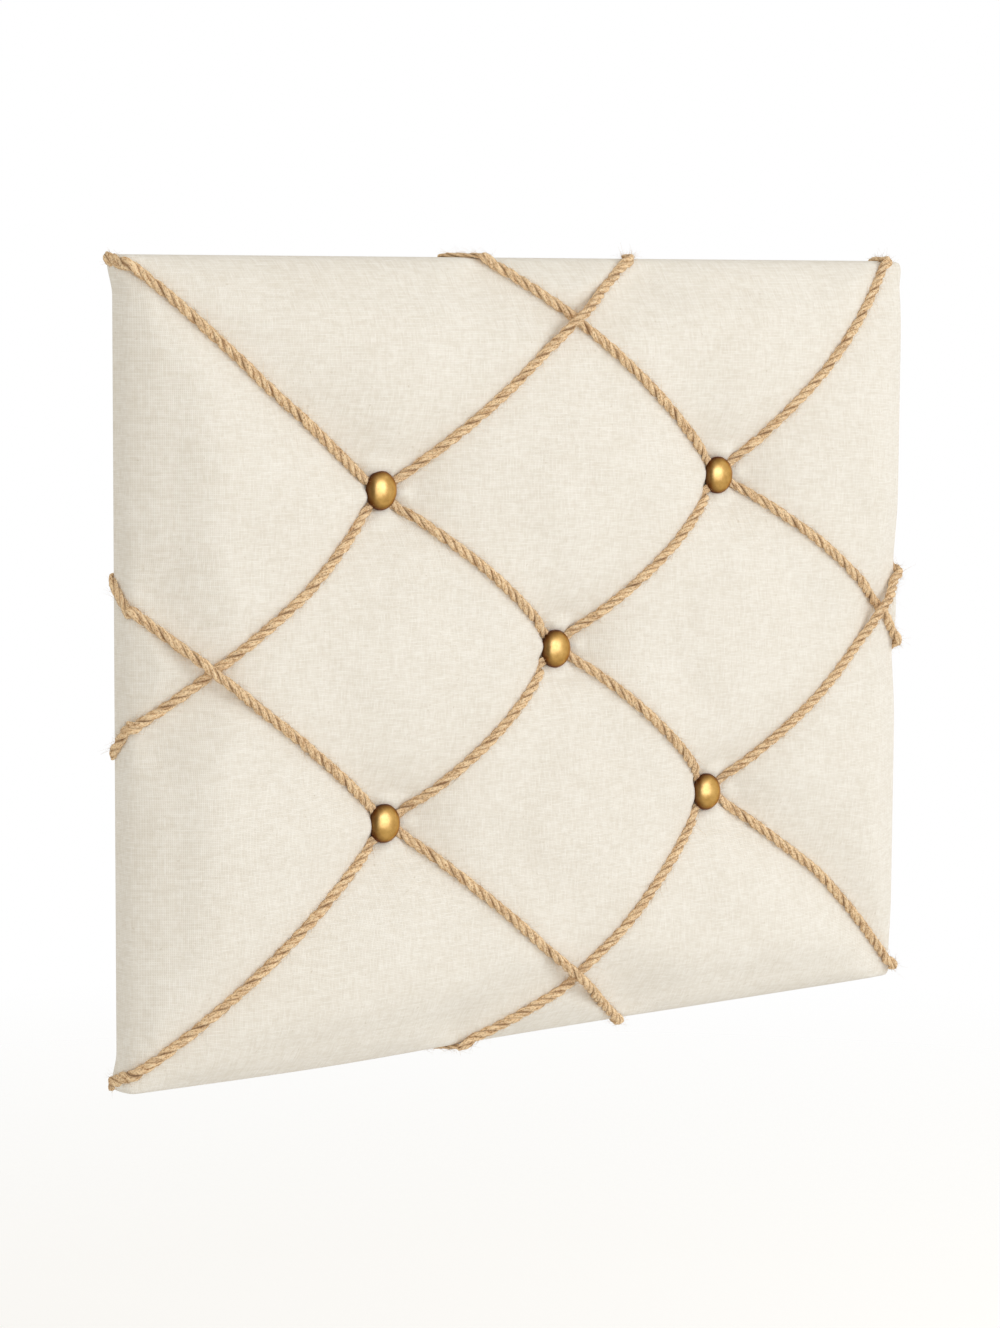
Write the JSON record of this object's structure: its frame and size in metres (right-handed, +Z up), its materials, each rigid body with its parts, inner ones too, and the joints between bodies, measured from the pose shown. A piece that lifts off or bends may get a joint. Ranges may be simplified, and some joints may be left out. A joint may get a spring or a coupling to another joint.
{
  "type": "tufted bulletin board",
  "caption": "Padded linen bulletin board laced with diagonal jute cords held down by domed brass nails, hung on the wall by D-rings on its back.",
  "frame": {"origin": "on the wall plane, midway between the two hooks that carry the D-rings", "axes": "+X to the viewer's right along the board, +Y into the wall, so that the padded front faces -Y, and +Z up"},
  "size_m": [0.5172, 0.0562, 0.4152],
  "materials": {
    "linen": "plain weave in undyed cream, matt",
    "jute": "twisted golden cord, fuzzy",
    "antique_brass": "antiqued, softly polished",
    "foam": "soft open-cell foam",
    "fibreboard": "raw medium-density fibreboard",
    "kraft_paper": "brown backing paper",
    "steel": "zinc plated",
    "rubber": "matt black"
  },
  "bodies": {
    "board": {"fibre_board": "fibreboard", "foam_pad": "foam", "linen_cover": "linen", "dust_sheet": "kraft_paper", "cord_falling_main": "jute", "cord_falling_upper": "jute", "cord_falling_lower": "jute", "cord_rising_main": "jute", "cord_rising_upper": "jute", "cord_rising_lower": "jute", "nail_dome_upper_left": "antique_brass", "nail_dome_upper_right": "antique_brass", "nail_dome_centre": "antique_brass", "nail_dome_lower_left": "antique_brass", "nail_dome_lower_right": "antique_brass", "nail_pin_upper_left": "steel", "nail_pin_upper_right": "steel", "nail_pin_centre": "steel", "nail_pin_lower_left": "steel", "nail_pin_lower_right": "steel", "cord_staple_falling_main_start": "steel", "cord_staple_falling_main_end": "steel", "cord_staple_falling_upper_start": "steel", "cord_staple_falling_upper_end": "steel", "cord_staple_falling_lower_start": "steel", "cord_staple_falling_lower_end": "steel", "cord_staple_rising_main_start": "steel", "cord_staple_rising_main_end": "steel", "cord_staple_rising_upper_start": "steel", "cord_staple_rising_upper_end": "steel", "cord_staple_rising_lower_start": "steel", "cord_staple_rising_lower_end": "steel", "hem_staple_top_left": "steel", "hem_staple_top_right": "steel", "hem_staple_bottom_left": "steel", "hem_staple_bottom_right": "steel", "hem_staple_left": "steel", "hem_staple_right": "steel", "hanger_strap_left": "steel", "hanger_strap_right": "steel", "hanger_screw_left": "steel", "hanger_screw_right": "steel", "bumper_upper_left": "rubber", "bumper_upper_right": "rubber", "bumper_lower_left": "rubber", "bumper_lower_right": "rubber"},
    "ring_left": {"hanger_ring_left": "steel"},
    "ring_right": {"hanger_ring_right": "steel"}
  },
  "joints": [
    {"name": "ring_left_swing", "type": "hinge", "parent": "board", "child": "ring_left", "pos_m": [-0.15, -0.0061, -0.0133], "axis": [-1, 0, 0], "range_deg": [0, 175]},
    {"name": "ring_right_swing", "type": "hinge", "parent": "board", "child": "ring_right", "pos_m": [0.15, -0.0061, -0.0133], "axis": [-1, 0, 0], "range_deg": [0, 175]}
  ]
}
